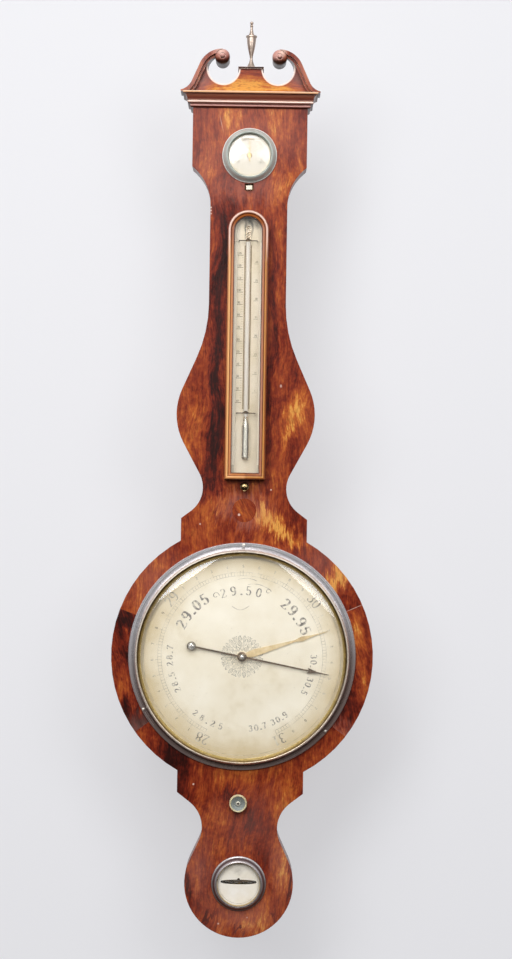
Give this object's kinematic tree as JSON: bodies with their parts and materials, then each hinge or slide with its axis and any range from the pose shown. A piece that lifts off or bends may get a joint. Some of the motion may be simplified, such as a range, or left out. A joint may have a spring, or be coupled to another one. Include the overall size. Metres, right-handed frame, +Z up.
{
  "type": "wheel barometer",
  "caption": "Wall-hung wheel barometer in a banjo-shaped veneered case with swan-neck pediment, hygrometer, boxed thermometer, large glazed dial, set knob and spirit level.",
  "frame": {"origin": "centre of the hole in the hanger plate, on the wall plane", "axes": "+Z up, -Y out of the wall towards the viewer, +X to the right as seen from the front"},
  "size_m": [0.3196, 0.0608, 1.1229],
  "materials": {
    "pine": "sawn pine, darkened with age",
    "mahogany_veneer": "figured mahogany veneer, french polished",
    "mahogany_edge": "straight mahogany veneer bent round the edge, french polished",
    "mahogany_moulding": "solid mahogany mouldings, french polished",
    "aged_brass": "turned brass with brown tarnish",
    "brass": "turned and lacquered brass",
    "silvered_brass": "chemically silvered brass under yellowed lacquer, engraving filled black",
    "glass": "clear old glass",
    "mercury": "liquid mercury",
    "spirit": "yellowish spirit",
    "blued_steel": "blued steel gone grey-brown",
    "bone": "turned and polished bone rim with a dished metal centre",
    "putty": "hardened linseed putty",
    "cork": "sliced cork",
    "gut": "twisted gut cord",
    "silk": "twisted silk thread",
    "oat": "dried beard of wild oat"
  },
  "bodies": {
    "case": {"carcass": "pine", "edge_veneer": "mahogany_edge", "trunk_veneer": "mahogany_veneer", "ring_veneers": "mahogany_veneer", "foot_veneer": "mahogany_veneer", "veneer_plug": "mahogany_veneer", "cornice": "mahogany_moulding", "pediment_board": "mahogany_moulding", "swan_necks": "mahogany_moulding", "plinth_cap": "mahogany_moulding", "finial": "aged_brass", "hanger_plate": "brass", "brass_screws": "brass", "trunk_cover": "pine", "door_pins": "brass", "dial_plate": "silvered_brass", "dial_bezel": "aged_brass", "dial_glass": "glass", "glass_putty": "putty", "bezel_screws": "aged_brass", "centre_bush": "brass", "back_cock": "brass", "siphon_tube": "glass", "mercury_bend": "mercury", "mercury_long": "mercury", "mercury_short": "mercury", "tube_corks": "cork", "set_cord": "gut", "knob_bush": "brass", "hygro_bezel": "aged_brass", "hygro_glass": "glass", "hygro_plate": "silvered_brass", "level_bezel": "aged_brass", "level_plate": "silvered_brass", "level_vial": "glass", "level_spirit": "spirit", "vial_saddle": "brass", "thermo_scale": "silvered_brass", "thermo_tube": "glass", "thermo_mercury": "mercury", "tube_staples": "brass"},
    "indicator": {"hand_arbor": "brass", "float_wheel": "brass", "pressure_hand": "blued_steel"},
    "float": {"glass_float": "glass", "float_thread": "silk"},
    "counterweight": {"counterweight": "brass", "counter_thread": "silk"},
    "set_hand": {"set_cannon": "brass", "set_hand": "brass"},
    "set_knob": {"set_knob": "bone", "knob_spindle": "brass"},
    "hygro_adjuster": {"hygro_adjuster": "brass", "oat_beard": "oat"},
    "hygro_pointer": {"hygro_pointer": "blued_steel"},
    "thermometer_box": {"box_frame": "mahogany_moulding", "box_pane": "glass"},
    "box_knob": {"box_knob": "brass"},
    "back_door": {"back_door": "pine"},
    "door_screw": {"door_screw": "brass"}
  },
  "joints": [
    {"name": "indicator_turn", "type": "hinge", "parent": "case", "child": "indicator", "pos_m": [0, -0.043, -0.704], "axis": [0, 1, 0], "range_deg": [-256, 54]},
    {"name": "float_rise", "type": "slide", "parent": "case", "child": "float", "axis": [0, 0, 1], "range_m": [-0.0068, 0.0316], "deforming": ["float_thread", "mercury_short"]},
    {"name": "counterweight_rise", "type": "slide", "parent": "case", "child": "counterweight", "axis": [0, 0, 1], "range_m": [-0.0316, 0.0068], "deforming": ["counter_thread", "mercury_long"]},
    {"name": "set_knob_turn", "type": "hinge", "parent": "case", "child": "set_knob", "pos_m": [-0.002, -0.042, -0.883], "axis": [0, 1, 0], "continuous": true},
    {"name": "set_hand_turn", "type": "hinge", "parent": "case", "child": "set_hand", "pos_m": [0, -0.0407, -0.704], "axis": [0, 1, 0], "continuous": true},
    {"name": "hygro_adjuster_turn", "type": "hinge", "parent": "case", "child": "hygro_adjuster", "pos_m": [0, -0.036, -0.092], "axis": [0, 1, 0], "range_deg": [-4, 4]},
    {"name": "hygro_pointer_turn", "type": "hinge", "parent": "hygro_adjuster", "child": "hygro_pointer", "pos_m": [0, -0.04, -0.092], "axis": [0, 1, 0], "range_deg": [-120, 120]},
    {"name": "thermometer_box_lift", "type": "slide", "parent": "case", "child": "thermometer_box", "axis": [0, -1, 0], "range_m": [0, 0.06]},
    {"name": "box_knob_turn", "type": "hinge", "parent": "thermometer_box", "child": "box_knob", "pos_m": [0, -0.045, -0.497], "axis": [0, 1, 0], "continuous": true},
    {"name": "back_door_swing", "type": "hinge", "parent": "case", "child": "back_door", "pos_m": [-0.0411, -0.003, -0.772], "axis": [0, 0, 1], "range_deg": [0, 90]},
    {"name": "door_screw_turn", "type": "hinge", "parent": "back_door", "child": "door_screw", "pos_m": [0.039, -0.003, -0.772], "axis": [0, 1, 0], "continuous": true}
  ],
  "couplings": [
    {"joint": "float_rise", "follows": "indicator_turn", "m_per_rad": -0.0070418},
    {"joint": "counterweight_rise", "follows": "indicator_turn", "m_per_rad": 0.0070418},
    {"joint": "set_knob_turn", "follows": "set_hand_turn", "ratio": 1.3333}
  ]
}
